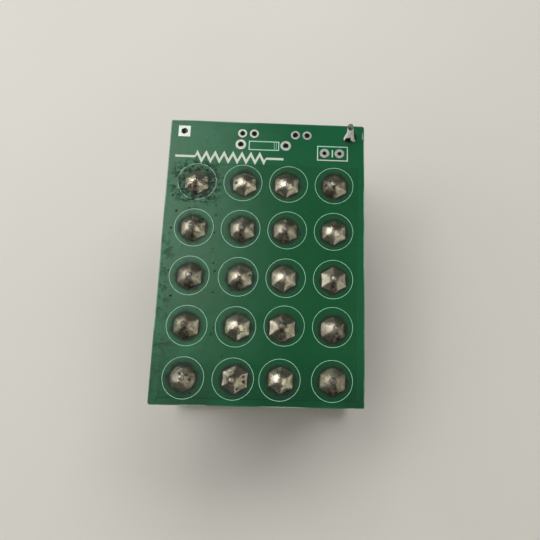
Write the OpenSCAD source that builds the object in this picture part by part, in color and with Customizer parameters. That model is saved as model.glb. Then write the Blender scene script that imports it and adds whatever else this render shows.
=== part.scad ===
// RF dummy load: twenty axial resistors stand between two equal circuit boards and share the load.
// Both boards turn their component faces outwards, every lead is soldered there on a hexagonal
// pad, and one wire links a corner of the upper board to the lower one.
// X runs across the boards, +Y points to their header end, and Z rises from the plane that the
// lower lead ends stand on, under the middle of the boards.

/* [Boards] */
// Width of each board
board_w = 33; // [32:0.1:40]
// Length of each board
board_l = 47.3; // [46:0.1:56]
// Thickness of the laminate
board_t = 1.6; // [0.8:0.1:2.4]
// Radius of the boards' corners
corner_r = 0.4; // [0.1:0.1:1.5]

/* [Resistors] */
// Diameter of a resistor's body over its end caps
body_d = 5; // [4:0.1:6]
// Length of a resistor's body
body_l = 15; // [9:0.5:18]
// Length of each end cap under the lacquer
cap_l = 3.2; // [2:0.1:4]
// Radius of the caps' edges
cap_edge_r = 0.7; // [0.3:0.1:0.9]
// Depth of the waist between the two caps
waist_depth = 0.3; // [0.1:0.05:0.6]
// Height of the lacquer that is drawn up each lead
nose_h = 0.4; // [0.1:0.05:0.6]
// Width of the lacquer where it leaves the end of a body
nose_d = 2.2; // [1.6:0.1:2.4]
// Width of the lacquer at the lead, over the lead's own diameter
nose_lip = 0.3; // [0.1:0.05:0.5]
// Bare length of lead between a body's lacquer and the board beside it
lead_gap = 0.4; // [0.2:0.1:3]
// Diameter of the leads
lead_d = 0.8; // [0.6:0.05:1]

/* [Layout] */
// Distance of the outer columns from the boards' sides
column_inset = 5; // [3:0.1:6.5]
// Distance between the inner columns as a share of that between the outer ones
inner_share = 0.305; // [0.29:0.005:0.36]
// Distance of the first row from the boards' header end
first_row_inset = 11.25; // [10:0.05:13]
// Distance of the last row from the boards' plain end
last_row_inset = 4.05; // [3:0.05:5]

/* [Solder joints] */
// Width of a hexagonal pad across its flats
pad_af = 3.95; // [3.6:0.05:5]
// Height of a joint's crown over the board
joint_h = 1.3; // [0.8:0.1:1.6]
// How far a cut lead stands out of its crown
tip_h = 0.2; // [0.1:0.05:0.6]
// Width of a joint that ran round
round_joint_d = 4.2; // [3.8:0.1:4.8]
// Room for solder all round a wire in its hole
solder_gap = 0.1; // [0.05:0.05:0.2]

/* [Cable holes] */
// Distance of the cable holes from the header end
cable_inset = 2.1; // [1.5:0.1:2.4]
// Distance between the two holes of a cable pair
cable_pitch = 2; // [1.8:0.1:3]
// Pad diameter of a cable hole
cable_pad_d = 1.55; // [1.3:0.05:1.7]
// Bore of a cable hole
cable_bore = 0.9; // [0.6:0.05:1.1]
// Centre of the input pair, from the middle of the board
input_x = -3.3; // [-6:0.1:-2]
// Centre of the output pair, from the middle of the board
output_x = 5.7; // [3:0.1:8]

/* [Detector holes] */
// Distance of the diode's holes from the header end
diode_inset = 4.15; // [4.1:0.05:5]
// Distance between the diode's holes
diode_pitch = 7.62; // [5.08:0.01:10.2]
// Pad diameter of a diode hole
diode_pad_d = 1.8; // [1.5:0.1:2]
// Bore of a diode hole
diode_bore = 0.95; // [0.6:0.05:1.1]
// Centre of the diode, from the middle of the board
diode_x = -0.7; // [-3:0.1:1]
// Distance of the capacitor's holes from the header end
capacitor_inset = 5.25; // [4.5:0.05:6]
// Distance between the capacitor's holes
capacitor_pitch = 2.54; // [2:0.01:5.08]
// Pad diameter of a capacitor hole
capacitor_pad_d = 1.65; // [1.2:0.05:1.8]
// Bore of a capacitor hole
capacitor_bore = 0.7; // [0.6:0.05:1]
// Centre of the capacitor, from the middle of the board
capacitor_x = 11; // [9:0.1:12]

/* [Corner pads] */
// Distance of the corner pads from the boards' sides
corner_pad_side = 2.35; // [1.5:0.05:3]
// Distance of the corner pads from the header end
corner_pad_inset = 2.05; // [1.5:0.05:3]
// Width of the square pad and diameter of the round one
corner_pad_w = 2; // [1.8:0.1:2.4]

/* [Plating] */
// Thickness of a hole's plating and of its pads
plating_t = 0.07; // [0.03:0.01:0.1]

/* [Link wire] */
// Diameter of the link wire
link_d = 0.9; // [0.6:0.05:1]
// Length of its free end over the upper board
link_rise = 4.1; // [3:0.1:6]
// Lean of its free end to the left
link_lean = 6; // [0:1:12]
// Height of the solder round its free end
link_cone_h = 2.4; // [1:0.1:2.6]
// Thickness of the solder at the top of that cone
link_skin = 0.08; // [0.04:0.02:0.2]
// Length of its lower end that the solder leaves bare
link_bare = 0.25; // [0.1:0.05:0.4]
// Height of its lower end over the plane that the part stands on
link_clear = 0.6; // [0.2:0.1:0.7]

/* [Hidden] */
$fn = 48;
rows = 5;

// How far a cutter runs past the face that it cuts
cut = 0.5;

// The height of each face over the standing plane
stand_h = joint_h + tip_h;
board_gap = body_l + 2 * (nose_h + lead_gap);
lower_inner = stand_h + board_t;
upper_inner = lower_inner + board_gap;
upper_face = upper_inner + board_t;

// The outer columns keep to the sides, the inner ones stand closer to the middle, and the rows are
// spread evenly over what their insets leave of the boards
outer_x = board_w / 2 - column_inset;
column_x = [-outer_x, -outer_x * inner_share, outer_x * inner_share, outer_x];
columns = len(column_x);
row_pitch = (board_l - first_row_inset - last_row_inset) / (rows - 1);
function spot(r, c) = [column_x[c - 1], -board_l / 2 + last_row_inset + (rows - r) * row_pitch];

// The joint where the solder ran round instead of into the pad's corners
round_joints = [[5, 1]];
function is_round(r, c) = len([for (j = round_joints) if (j == [r, c]) j]) > 0;

// A joint's flanks are arcs from each flat of its pad over the crown to the opposite flat
lead_hole_d = lead_d + 2 * solder_gap;
flank_r = arc_radius(pad_af, joint_h);
round_r = arc_radius(round_joint_d, joint_h);
function arc_radius(chord, rise) = (chord * chord / 4 + rise * rise) / (2 * rise);

// The header holes of one board: X, Y, pad width and bore
header_y = board_l / 2;
corner_x = board_w / 2 - corner_pad_side;
corner_y = header_y - corner_pad_inset;
corner_bore = link_d + 2 * solder_gap;
function pair(x, pitch, inset, pad_d, bore) = [
    for (side = [-1, 1]) [x + side * pitch / 2, header_y - inset, pad_d, bore]
];
round_holes = concat(
    pair(input_x, cable_pitch, cable_inset, cable_pad_d, cable_bore),
    pair(output_x, cable_pitch, cable_inset, cable_pad_d, cable_bore),
    pair(diode_x, diode_pitch, diode_inset, diode_pad_d, diode_bore),
    pair(capacitor_x, capacitor_pitch, capacitor_inset, capacitor_pad_d, capacitor_bore),
    [[corner_x, corner_y, corner_pad_w, corner_bore]]
);
square_hole = [-corner_x, corner_y, corner_pad_w, corner_bore];

mask_green = [0.24, 0.47, 0.3];
tin = [0.8, 0.8, 0.76];
lacquer_blue = [0.45, 0.6, 0.68];
solder_grey = [0.66, 0.65, 0.6];

function resistor_name(r, c) = str("resistor_", r, "_", c);

// A board's own frame has its outer face at Z 0; the lower board is the same board turned over
module on_upper() {
    translate([0, 0, upper_face]) children();
}

module on_lower() {
    translate([0, 0, stand_h]) rotate([0, 180, 0]) children();
}

module board_outline() {
    square([board_w - 2 * corner_r, board_l], center = true);
    square([board_w, board_l - 2 * corner_r], center = true);
    for (x = [-1, 1])
        for (y = [-1, 1])
            translate([x * (board_w / 2 - corner_r), y * (board_l / 2 - corner_r)])
                circle(r = corner_r);
}

module drill(at, d) {
    translate([at[0], at[1], -board_t - cut]) cylinder(d = d, h = board_t + 2 * cut);
}

// The laminate with its drilled holes; side is -1 where the turned board's columns run backwards
module laminate(side) {
    color(mask_green)
        difference() {
            translate([0, 0, -board_t]) linear_extrude(board_t) board_outline();
            for (r = [1:rows])
                for (c = [1:columns])
                    drill([side * spot(r, c)[0], spot(r, c)[1]], lead_hole_d);
            for (hole = concat(round_holes, [square_hole]))
                drill(hole, hole[3] + 2 * plating_t);
        }
}

module pad(width, is_square) {
    linear_extrude(plating_t)
        if (is_square) square(width, center = true);
        else circle(d = width);
}

// A plated hole: a thin barrel through the board with a pad on each face
module plated_hole(hole, is_square) {
    translate([hole[0], hole[1], 0])
        difference() {
            union() {
                translate([0, 0, -board_t]) cylinder(d = hole[3] + 2 * plating_t, h = board_t);
                pad(hole[2], is_square);
                translate([0, 0, -board_t - plating_t]) pad(hole[2], is_square);
            }
            drill([0, 0], hole[3]);
        }
}

module plating() {
    color(tin) {
        for (hole = round_holes) plated_hole(hole, false);
        plated_hole(square_hole, true);
    }
}

// The room that the lead takes through a joint and its hole
module lead_bore() {
    translate([0, 0, -board_t - cut]) cylinder(d = lead_d, h = board_t + joint_h + 2 * cut);
}

module above_board() {
    intersection() {
        children();
        translate([-pad_af, -pad_af, 0]) cube([2 * pad_af, 2 * pad_af, joint_h + cut]);
    }
}

// A barrel vault over two opposite flats of the pad, bored for the lead
module vault() {
    difference() {
        above_board()
            translate([0, 0, joint_h - flank_r])
                rotate([90, 0, 0])
                    cylinder(r = flank_r, h = 2 * pad_af, center = true);
        lead_bore();
    }
}

// Three vaults meet in ridges at the pad's corners, which fade into one crown
module hexagonal_dome() {
    intersection_for(a = [0, 60, 120]) rotate(a) vault();
}

module round_dome() {
    difference() {
        above_board() translate([0, 0, joint_h - round_r]) sphere(r = round_r);
        lead_bore();
    }
}

// One soldered lead: a dome of solder over its pad, and the solder round the lead in its hole
module joint(is_round) {
    if (is_round) round_dome();
    else hexagonal_dome();
    difference() {
        translate([0, 0, -board_t]) cylinder(d = lead_hole_d, h = board_t);
        lead_bore();
    }
}

module joints(side) {
    color(solder_grey)
        for (r = [1:rows])
            for (c = [1:columns])
                translate([side * spot(r, c)[0], spot(r, c)[1], 0]) joint(is_round(r, c));
}

// The leads of one board's side, from the lacquer of the bodies to the cut ends over the crowns
module leads(side) {
    color(tin)
        for (r = [1:rows])
            for (c = [1:columns])
                translate([side * spot(r, c)[0], spot(r, c)[1], -board_t - lead_gap])
                    cylinder(d = lead_d, h = lead_gap + board_t + joint_h + tip_h);
}

// Half of a body's section, from its middle down to the lacquer on one lead
module half_body_profile() {
    r = body_d / 2;
    nose_tip_r = (lead_d + nose_lip) / 2;
    translate([0, cap_l - cap_edge_r]) square([r - waist_depth, body_l / 2 - cap_l + cap_edge_r]);
    square([r - cap_edge_r, cap_l]);
    translate([0, cap_edge_r]) square([r, cap_l - 2 * cap_edge_r]);
    for (z = [cap_edge_r, cap_l - cap_edge_r])
        translate([r - cap_edge_r, z]) circle(r = cap_edge_r);
    polygon([
        [0, -nose_h],
        [nose_tip_r, -nose_h],
        [nose_d / 2, 0],
        [nose_d / 2, cap_l / 2],
        [0, cap_l / 2]
    ]);
}

module resistor(r, c) {
    color(lacquer_blue)
        translate([spot(r, c)[0], spot(r, c)[1], lower_inner + lead_gap + nose_h])
            rotate_extrude() {
                half_body_profile();
                translate([0, body_l]) mirror([0, 1]) half_body_profile();
            }
}

// The link wire's own shape: straight through both boards, with a kink at the upper face
module link_shape() {
    kink_r = link_d / 2 + solder_gap / 3;
    chamfer = link_d / 6;
    translate([corner_x, corner_y, link_clear]) cylinder(d = link_d, h = upper_face - link_clear);
    translate([corner_x, corner_y, upper_face]) {
        sphere(r = kink_r);
        rotate([0, -link_lean, 0])
            rotate_extrude()
                polygon([
                    [0, 0],
                    [link_d / 2, 0],
                    [link_d / 2, link_rise - 2 * chamfer],
                    [link_d / 2 - chamfer, link_rise - chamfer / 2],
                    [link_d / 2 - 2 * chamfer, link_rise],
                    [0, link_rise]
                ]);
    }
}

module link_wire() {
    color(tin) link_shape();
}

// A hollow cone of solder up a corner wire; it starts under its pad, so that it can lean with the wire
module solder_cone(h, tip_r) {
    base_r = corner_pad_w / 2;
    sink = plating_t + corner_pad_w * tan(link_lean);
    steps = 8;
    hollow = 2.4;
    rotate_extrude()
        polygon(concat(
            [[0, -sink], [base_r, -sink]],
            [for (i = [0:steps]) [tip_r + (base_r - tip_r) * pow(1 - i / steps, hollow), h * i / steps]],
            [[0, h]]
        ));
}

// The solder that fills a corner hole, from the pad on the inner face to the one on the outer face
module corner_fill() {
    translate([0, 0, -board_t - plating_t]) cylinder(d = corner_bore, h = board_t + 2 * plating_t);
}

module over_pad() {
    intersection() {
        children();
        translate([-corner_pad_w, -corner_pad_w, plating_t])
            cube([2 * corner_pad_w, 2 * corner_pad_w, link_rise + stand_h]);
    }
}

module link_upper_joint() {
    color(solder_grey)
        difference() {
            on_upper()
                translate([corner_x, corner_y, 0]) {
                    over_pad() rotate([0, -link_lean, 0]) solder_cone(link_cone_h, link_d / 2 + link_skin);
                    corner_fill();
                }
            link_shape();
        }
}

module link_lower_joint() {
    color(solder_grey)
        difference() {
            on_lower()
                translate([-corner_x, corner_y, 0]) {
                    over_pad() solder_cone(stand_h - link_clear - link_bare, link_d / 2 + link_skin);
                    corner_fill();
                }
            link_shape();
        }
}

module lower_board() {
    on_lower() laminate(-1);
}

module lower_barrels() {
    on_lower() plating();
}

module lower_joints() {
    on_lower() joints(-1);
}

module lower_leads() {
    on_lower() leads(-1);
}

module upper_leads() {
    on_upper() leads(1);
}

module upper_joints() {
    on_upper() joints(1);
}

module upper_barrels() {
    on_upper() plating();
}

module upper_board() {
    on_upper() laminate(1);
}

lower_board();
lower_barrels();
lower_joints();
lower_leads();
for (r = [1:rows])
    for (c = [1:columns])
        resistor(r, c);
upper_leads();
upper_joints();
upper_barrels();
upper_board();
link_wire();
link_lower_joint();
link_upper_joint();
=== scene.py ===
import math
import random

import bmesh
import bpy
from mathutils import Matrix, Vector


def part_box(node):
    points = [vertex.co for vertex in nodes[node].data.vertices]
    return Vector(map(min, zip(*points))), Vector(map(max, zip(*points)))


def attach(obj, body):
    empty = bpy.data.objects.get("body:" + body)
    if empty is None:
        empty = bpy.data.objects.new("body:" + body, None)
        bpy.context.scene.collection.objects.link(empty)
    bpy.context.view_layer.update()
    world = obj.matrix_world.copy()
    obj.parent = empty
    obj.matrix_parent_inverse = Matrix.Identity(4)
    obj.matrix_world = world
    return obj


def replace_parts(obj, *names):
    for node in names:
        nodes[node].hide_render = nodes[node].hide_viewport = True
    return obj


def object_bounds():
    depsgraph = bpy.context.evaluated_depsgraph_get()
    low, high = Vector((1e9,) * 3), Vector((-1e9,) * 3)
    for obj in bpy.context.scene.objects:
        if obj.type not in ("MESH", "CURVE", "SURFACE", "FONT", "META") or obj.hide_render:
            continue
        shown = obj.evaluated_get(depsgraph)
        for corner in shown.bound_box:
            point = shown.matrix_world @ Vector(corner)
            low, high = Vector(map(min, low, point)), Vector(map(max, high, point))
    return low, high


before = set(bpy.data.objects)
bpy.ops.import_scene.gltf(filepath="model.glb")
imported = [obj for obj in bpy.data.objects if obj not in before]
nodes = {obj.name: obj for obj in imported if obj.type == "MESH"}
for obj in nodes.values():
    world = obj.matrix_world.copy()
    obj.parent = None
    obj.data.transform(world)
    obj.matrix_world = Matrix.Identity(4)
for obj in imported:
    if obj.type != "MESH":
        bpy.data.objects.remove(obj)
cad_lowest, cad_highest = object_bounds()

# The two boards are one design, the lower one turned over: glass laminate, routed to size, with a
# glossy green mask over the copper of both faces. Soldering by hand left flux and soot on the
# outer faces, most of it round the first joint and down the left side.
mm = 0.001
upper_low, upper_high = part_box("upper_board")
lower_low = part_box("lower_board")[0]
half_w = upper_high.x / mm
half_l = upper_high.y / mm
board_t = (upper_high.z - upper_low.z) / mm
rows = range(1, 6)
columns = range(1, 5)
spots = {}
for row in rows:
    for column in columns:
        low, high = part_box(f"resistor_{row}_{column}")
        spots[row, column] = (low + high) / 2 / mm
outer_x = spots[1, 4].x
inner_x = spots[1, 3].x
row_pitch = spots[1, 1].y - spots[2, 1].y
first_row_y = spots[1, 1].y
burnt_spot = spots[1, 1]


class Shade:
    """A socket of a material. Arithmetic on it adds the Math nodes that work it out."""

    def __init__(self, tree, socket=None):
        self.tree = tree
        self.socket = socket

    def node(self, kind, settings, sockets, output=0):
        """Adds a node: its settings first, then the values or links of its sockets."""
        made = self.tree.nodes.new(kind)
        for name, value in settings.items():
            setattr(made, name, value)
        for name, value in sockets.items():
            if isinstance(value, Shade):
                self.tree.links.new(value.socket, made.inputs[name])
            else:
                made.inputs[name].default_value = value
        return Shade(self.tree, made.outputs[output])

    def math(self, operation, *values):
        return self.node("ShaderNodeMath", {"operation": operation}, dict(enumerate(values)))

    def __add__(self, other):
        return self.math("ADD", self, other)

    def __sub__(self, other):
        return self.math("SUBTRACT", self, other)

    def __rsub__(self, other):
        return self.math("SUBTRACT", other, self)

    def __mul__(self, other):
        return self.math("MULTIPLY", self, other)

    def __truediv__(self, other):
        return self.math("DIVIDE", self, other)

    __radd__ = __add__
    __rmul__ = __mul__

    def __abs__(self):
        return self.math("ABSOLUTE", self)

    def most(self, other):
        return self.math("MAXIMUM", self, other)

    def least(self, other):
        return self.math("MINIMUM", self, other)

    def rise(self, start, end):
        """A mask that goes smoothly from 0 at start to 1 at end, whichever of them is higher."""
        sockets = {"Value": self, "From Min": start, "From Max": end}
        return self.node("ShaderNodeMapRange", {"interpolation_type": "SMOOTHSTEP"}, sockets)

    def over(self, under, top):
        """The colour under where this mask is 0, and the colour on top where it is 1."""
        return self.node("ShaderNodeMix", {"data_type": "RGBA"}, {0: self, 6: under, 7: top}, output=2)

    def split(self):
        parts = self.node("ShaderNodeSeparateXYZ", {}, {0: self})
        outputs = parts.socket.node.outputs
        return [Shade(self.tree, outputs[i]) for i in range(3)]

    def noise(self, scale, detail=2.0, rough=0.5):
        """Cloudy noise over a place; scale is in waves for each millimetre."""
        sockets = {"Vector": self, "Scale": scale, "Detail": detail, "Roughness": rough}
        return self.node("ShaderNodeTexNoise", {}, sockets)

    def cells(self, scale):
        """Scattered points: how far the nearest one is, in cell widths, and a random number for it."""
        sockets = {"Vector": self, "Scale": scale}
        near = self.node("ShaderNodeTexVoronoi", {"voronoi_dimensions": "2D"}, sockets)
        return near, Shade(self.tree, near.socket.node.outputs["Color"]).split()[0]

    def stretched(self, turn, scale):
        """A place turned about Z and stretched, for streaks and scratches."""
        sockets = {"Vector": self, "Rotation": (0, 0, math.radians(turn)), "Scale": scale}
        return self.node("ShaderNodeMapping", {}, sockets)

    def attribute(self, name):
        """A number that the mesh holds at each vertex."""
        return self.node("ShaderNodeAttribute", {"attribute_name": name}, {}, output="Fac")

    def facing(self):
        """The way that the surface faces, as three parts."""
        return self.node("ShaderNodeNewGeometry", {}, {}, output="Normal").split()

    def bump(self, height_mm):
        """The normal of a surface with this relief, whose 1 stands height_mm over its 0."""
        sockets = {"Strength": 1.0, "Distance": height_mm * mm, "Height": self}
        return self.node("ShaderNodeBump", {}, sockets)


def new_finish(name, **constants):
    """A material, its shader with the sockets that are the same all over, and the place in millimetres."""
    material = bpy.data.materials.new(name)
    material.use_nodes = True
    shader = material.node_tree.nodes["Principled BSDF"]
    for socket, value in constants.items():
        shader.inputs[socket.replace("_", " ")].default_value = value
    metres = Shade(material.node_tree).node("ShaderNodeTexCoord", {}, {}, output="Object")
    place = metres.node("ShaderNodeVectorMath", {"operation": "SCALE"}, {0: metres, "Scale": 1 / mm})
    return material, shader, place


def feed(shader, **shades):
    for socket, shade in shades.items():
        shade.tree.links.new(shade.socket, shader.inputs[socket.replace("_", " ")])


def distance(x, y, point):
    """How far a place lies from a point of the board, in millimetres."""
    dx = x - point[0]
    dy = y - point[1]
    squared = dx * dx + dy * dy
    return squared.math("SQRT", squared)


def mask_finish(name, outer_z, side):
    """Green solder mask; side is -1 on the turned board, whose pattern runs backwards in X."""
    material, shader, place = new_finish(name, IOR=1.5)
    x, y, z = place.split()
    across = x * side
    is_face = abs(place.facing()[2]).rise(0.45, 0.55)
    is_outer = ((z - outer_z) * side).rise(-0.2, -0.1)

    # Copper is poured under the mask from the first row down, a little short of the edges
    pour_top = 15.8
    pour_margin = 1.1
    pour_line = 0.05
    bare_green = (0.0068, 0.124, 0.048, 1)
    copper_green = (0.0088, 0.104, 0.038, 1)
    step_shade_green = (0.006, 0.05, 0.024, 1)
    to_side = half_w - abs(across)
    to_end = half_l + y
    into_pour = (to_side - pour_margin).least(to_end - pour_margin).least(pour_top - y)
    pour = into_pour.rise(-pour_line, pour_line)
    # Painted shade: a darker line along the step where the mask runs over the edge of the copper pour
    pour_edge_shade = abs(into_pour).rise(0.2, 0.05)
    colour = pour.over(bare_green, copper_green)
    colour = (pour_edge_shade * 0.15).over(colour, step_shade_green)

    # Cloudy unevenness of the mask, and over the left half a paler haze that is partly flux and partly a
    # painted reflection of the window
    cloud_green = (0.0135, 0.130, 0.052, 1)
    left_flux_and_sheen_green = (0.04, 0.23, 0.125, 1)
    cloud = place.noise(0.16, 3.0)
    left = across.rise(6.0, -15.0)
    left_flux_and_sheen = left * y.rise(-22.0, -14.0) * place.noise(0.22, 4.0, 0.6).rise(0.25, 0.75)
    colour = (cloud.rise(0.35, 0.75) * 0.3).over(colour, cloud_green)
    colour = (left_flux_and_sheen * 0.4).over(colour, left_flux_and_sheen_green)

    # Painted shade: the near end of the board is darker, for the light falling off there
    near_end_shade_green = (0.006, 0.045, 0.021, 1)
    near_end_shade = y.rise(-14.0, -23.5) * place.noise(0.12, 2.0).rise(0.2, 0.6)
    colour = (near_end_shade * 0.6).over(colour, near_end_shade_green)

    # Each joint stands in a dark ring that is partly flux and partly painted contact shade; round the
    # burnt one the flux set as a pale crust
    flux_and_shade_dark = (0.003, 0.016, 0.009, 1)
    crust_pale = (0.085, 0.20, 0.13, 1)
    over_column = abs(abs(x) - (outer_x + inner_x) / 2) - (outer_x - inner_x) / 2
    row_share = (y - first_row_y) / row_pitch + 0.5
    over_row = (row_share.math("FRACT", row_share) - 0.5) * row_pitch
    from_joint = distance(over_column, over_row, (0.0, 0.0)) + (place.noise(0.9, 3.0) - 0.5) * 1.2
    in_field = y.rise(pour_top + 0.6, pour_top - 0.2)
    flux = (from_joint.rise(3.1, 2.4) * 0.4 + from_joint.rise(2.6, 2.2) * 0.6) * in_field * is_outer
    from_burnt = distance(across, y, burnt_spot) + (place.noise(0.8, 3.0) - 0.5) * 1.6
    crust = from_burnt.rise(3.5, 2.9)
    flux = flux * (1 - 0.6 * crust)
    colour = (flux * 0.92).over(colour, flux_and_shade_dark)
    colour = (crust * is_outer * 0.45).over(colour, crust_pale)

    # Soot: specks and smears, most of them down the left side, and blisters round the burnt joint
    soot_dark = (0.003, 0.02, 0.012, 1)
    speck_grid = 0.42
    bubble_grid = 1.15
    rubbed_spot = (-15.0, -15.5)
    speck_far, speck_size = place.cells(speck_grid)
    speck_far = speck_far / speck_grid + (place.noise(3.0, 2.0) - 0.5) * 0.5
    speck = (speck_far - 0.04 - 0.2 * speck_size * across.rise(2.0, -12.0)).rise(0.06, -0.02)
    speck = speck * speck_size.rise(0.45, 0.6) * in_field
    smear = place.stretched(28, (0.25, 1.3, 1.0)).noise(0.9, 4.0, 0.65).rise(0.5, 0.68)
    smear = smear * distance(across, y, rubbed_spot).rise(7.0, 2.0)
    blotch = place.noise(1.1, 4.0, 0.65).rise(0.53, 0.6)
    left_edge = across.rise(-13.2, -15.6) * y.rise(9.0, -1.0)
    bubble_far, bubble_size = place.cells(bubble_grid)
    bubble = abs(bubble_far / bubble_grid - 0.12 - 0.22 * bubble_size).rise(0.15, 0.04)
    bubble = bubble * place.noise(0.5, 2.0).rise(0.42, 0.52)
    char_patch = place.noise(0.6, 3.0, 0.6) + 0.14 * (across - burnt_spot.x).rise(0.5, 2.0)
    charred = from_burnt.rise(3.3, 2.5) * (0.2 + 0.75 * char_patch.rise(0.46, 0.58))
    scorch = (from_burnt.rise(5.4, 3.2) * blotch.most(bubble)).most(charred)
    soot = speck.most(smear * 0.75).most(blotch * left_edge * 0.6).most(scorch) * is_outer
    colour = (soot * 0.85).over(colour, soot_dark)

    # Pale scratches, dust, and a pale mark on the edge beside the link wire
    scratch_pale = (0.10, 0.22, 0.15, 1)
    dust_pale = (0.3, 0.45, 0.35, 1)
    edge_mark_pale = (0.35, 0.58, 0.44, 1)
    edge_mark_spot = (half_w - 0.25, half_l - 1.95)
    edge_mark_slim = 4.5
    scratch = smear * place.noise(0.7).rise(0.5, 0.62) * is_outer
    colour = (scratch * 0.3).over(colour, scratch_pale)
    dust = place.noise(4.5, 1.0).rise(0.74, 0.79) * is_outer
    colour = (dust * 0.3).over(colour, dust_pale)
    edge_mark = distance((across - edge_mark_spot[0]) * edge_mark_slim, y - edge_mark_spot[1], (0.0, 0.0))
    edge_mark = (edge_mark + (place.noise(1.8, 3.0) - 0.5) * 1.2).rise(0.75, 0.5)
    colour = (edge_mark * is_outer * 0.6).over(colour, edge_mark_pale)

    # The mask stops a hair short of the routed edge and leaves a pale line of glass
    mask_margin = 0.16
    glass_pale = (0.36, 0.52, 0.38, 1)
    to_edge = to_side.least(half_l - abs(y))
    margin = (to_edge + (place.noise(2.5) - 0.5) * 0.12).rise(mask_margin, mask_margin / 2)
    margin = margin * (0.15 + 0.75 * place.noise(0.12, 2.0).rise(0.45, 0.6))
    colour = margin.over(colour, glass_pale)

    # The routed edge: layers of glass cloth in pale resin, with the cut ends of the yarns
    layer = 0.19
    skin = 0.07
    resin = (0.30, 0.34, 0.16, 1)
    cut_yarn = (0.44, 0.48, 0.27, 1)
    skin_green = (0.03, 0.12, 0.06, 1)
    layer_turn = (z - outer_z) * (2 * math.pi / layer)
    wave = layer_turn.math("SINE", layer_turn)
    weave = (wave * 0.25 + place.noise(3.2, 3.0)).rise(0.3, 0.75)
    to_skin = (board_t / 2 - abs((z - outer_z) * side + board_t / 2)).rise(skin, skin / 2)
    cut_glass = (to_skin * 0.85).over(weave.over(resin, cut_yarn), skin_green)
    colour = is_face.over(cut_glass, colour)

    is_edge = 1 - is_face
    roughness = 0.18 + 0.1 * cloud + 0.08 * left_flux_and_sheen + 0.25 * flux + 0.4 * soot + 0.3 * is_edge
    ripple = place.noise(0.8, 2.0) * 0.5 + place.noise(6.0, 2.0) * 0.06
    relief = ripple + pour * 0.9 + scorch * 0.8 + soot * 0.3 - margin * 0.6
    relief = is_face * relief + is_edge * (weave * 1.2 + place.noise(9.0) * 0.8)
    feed(shader, Base_Color=colour, Roughness=roughness, Normal=relief.bump(0.03))
    return material


def dress(node_name, material):
    """Gives a CAD node its finish."""
    mesh = nodes[node_name].data
    mesh.materials.clear()
    mesh.materials.append(material)


dress("upper_board", mask_finish("green_mask_upper", upper_high.z / mm, 1))
dress("lower_board", mask_finish("green_mask_lower", lower_low.z / mm, -1))

# Each open hole has a barrel of plated copper with a tinned pad on both faces. The tin levelled
# itself when it was hot, so the pads are bright and slightly uneven.
between_boards = (10.0, 12.0)
link_spot = (half_w - 2.35, half_l - 2.05)
tin_grey = (0.74, 0.80, 0.75, 1)
tin_bright = (0.86, 0.93, 0.88, 1)
tin_dull = (0.48, 0.46, 0.40, 1)
barrel_shade_dark = (0.09, 0.08, 0.065, 1)
link_pad_flux_and_shade = (0.010, 0.026, 0.015, 1)
tin_finish, tin_shader, tin_place = new_finish("bright_tin", Metallic=1.0)
tin_x, tin_y, tin_z = tin_place.split()
tin_cloud = tin_place.noise(2.2, 3.0)
tin_spot = tin_place.noise(5.0, 2.0).rise(0.62, 0.72)
tin_colour = tin_cloud.rise(0.3, 0.7).over(tin_grey, tin_bright)
tin_colour = (tin_spot * 0.5).over(tin_colour, tin_dull)
# Painted shade, partly dirty flux: the tin on the walls inside each hole is made dark
tin_in_hole = abs(tin_place.facing()[2]).rise(0.7, 0.4)
tin_colour = (tin_in_hole * 0.85).over(tin_colour, barrel_shade_dark)
# Painted shade, partly flux: the pad round the link wire is made dark green, like the shaded mask beside
# the cone
link_pad_fluxed_and_shaded = distance(tin_x, tin_y, link_spot).rise(1.3, 1.1) * tin_z.rise(*between_boards)
tin_colour = (link_pad_fluxed_and_shaded * 0.95).over(tin_colour, link_pad_flux_and_shade)
tin_relief = tin_place.noise(1.6, 2.0) + tin_place.noise(11.0, 2.0) * 0.08
feed(
    tin_shader,
    Base_Color=tin_colour,
    Roughness=0.34 + 0.2 * tin_cloud,
    Normal=tin_relief.bump(0.03),
)
for node_name in ("upper_barrels", "lower_barrels"):
    dress(node_name, tin_finish)

# Twenty power resistors stand between the boards. Each is a ceramic rod with pressed caps, dipped
# in a flameproof lacquer and ringed with its colour code: brown, black, red and gold.
body_low, body_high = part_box("resistor_1_1")
body_mid_z = (body_low.z + body_high.z) / 2 / mm
cap_from = 4.3
body_end = 7.5
slate_dark = (0.155, 0.235, 0.275, 1)
slate_pale = (0.20, 0.29, 0.33, 1)
slate_pool = (0.09, 0.14, 0.17, 1)
slate_waist = (0.11, 0.17, 0.20, 1)
chip_pale = (0.34, 0.40, 0.42, 1)
band_w = 1.25
band_edge = 0.05
bands = [
    (5.7, (0.085, 0.030, 0.012, 1)),
    (2.75, (0.012, 0.011, 0.010, 1)),
    (0.35, (0.42, 0.020, 0.012, 1)),
    (-5.6, (0.46, 0.28, 0.075, 1)),
]


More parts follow.
